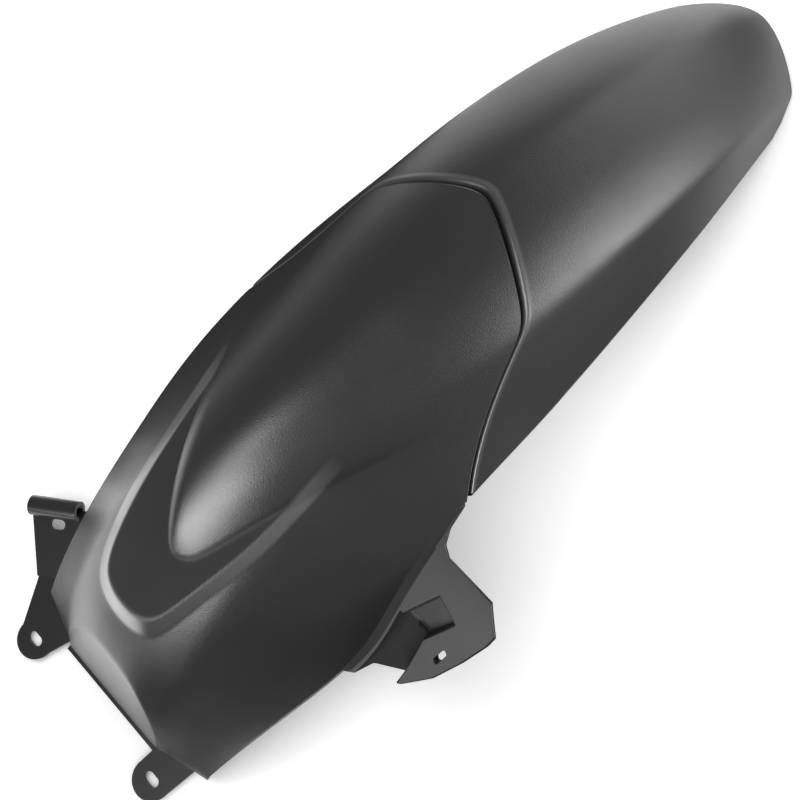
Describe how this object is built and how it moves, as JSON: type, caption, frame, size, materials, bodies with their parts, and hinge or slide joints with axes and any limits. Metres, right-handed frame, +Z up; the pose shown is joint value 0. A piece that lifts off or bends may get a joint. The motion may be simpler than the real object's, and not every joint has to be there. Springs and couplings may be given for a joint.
{
  "type": "motorcycle mudguard extender",
  "caption": "Black moulded rear-wheel hugger mudguard with a long bonded extender, side mount arm and a pressed-steel front bracket with bolt lugs and hose hook.",
  "frame": {"origin": "middle of the bounding box at the level of the floor that the part stands on", "axes": "+X to the tail of the extender, +Y to the brake side, +Z up"},
  "size_m": [0.6112, 0.281, 0.1685],
  "materials": {
    "shell_plastic": "fine-grained satin black",
    "extender_plastic": "fine-grained satin black",
    "bonding_tape": "matte foam tape",
    "bracket_paint": "semi-gloss black"
  },
  "bodies": {
    "root": {"mudguard_shell": "shell_plastic", "rear_extender": "extender_plastic", "bonding_strip": "bonding_tape", "front_bracket": "bracket_paint"}
  },
  "joints": []
}
